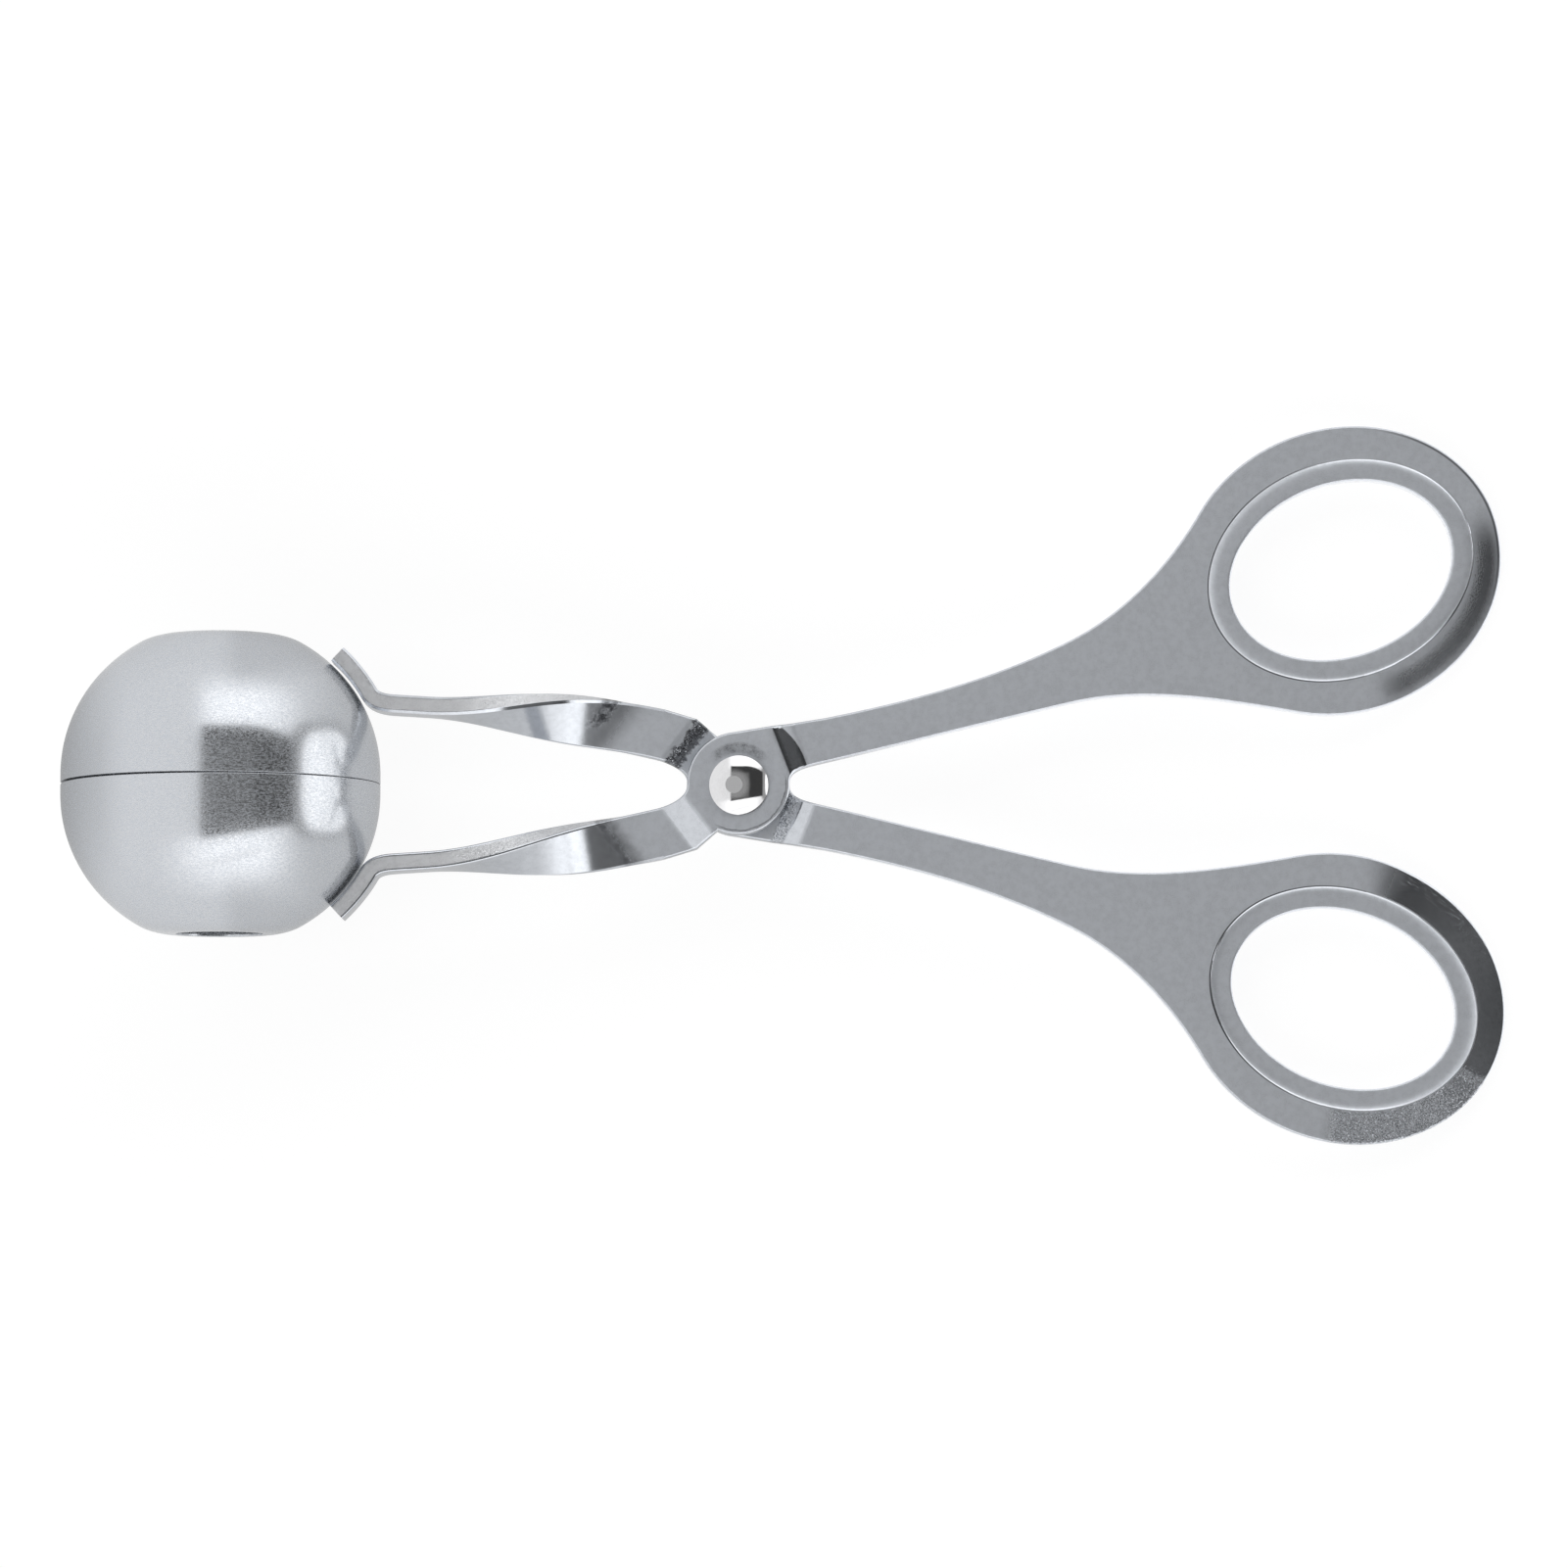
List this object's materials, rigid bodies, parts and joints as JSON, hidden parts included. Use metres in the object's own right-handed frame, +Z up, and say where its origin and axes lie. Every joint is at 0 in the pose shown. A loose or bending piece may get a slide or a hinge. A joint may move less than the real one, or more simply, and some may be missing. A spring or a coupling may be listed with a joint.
{
  "type": "meatball scoop",
  "caption": "Scissor-action meatball scoop: hinged half-ball cups with vent holes on twisted metal arms that end in oval finger rings.",
  "frame": {"origin": "centre of the footprint of the closed tool lying on a table, at table height", "axes": "+X along the tool from the cups to the finger rings, +Z up; the pivot pin leans 6.75 degrees from +Z towards +X because the cup rims and the rings' far ends touch the table"},
  "size_m": [0.1986, 0.0998, 0.0442],
  "materials": {
    "front_arm": "bright plated steel with a pitted face",
    "back_arm": "bright plated steel with grinding marks",
    "upper_cup": "satin polish",
    "lower_cup": "satin polish",
    "pivot_rivet": "mirror polish"
  },
  "bodies": {
    "back_half": {"back_arm": "back_arm", "upper_cup": "upper_cup", "pivot_rivet": "pivot_rivet"},
    "front_half": {"front_arm": "front_arm", "lower_cup": "lower_cup"}
  },
  "joints": [
    {"name": "scissor_hinge", "type": "hinge", "parent": "back_half", "child": "front_half", "pos_m": [-0.00598, 0, 0.01368], "axis": [0.1175, 0, 0.9931], "range_deg": [0, 45]}
  ]
}
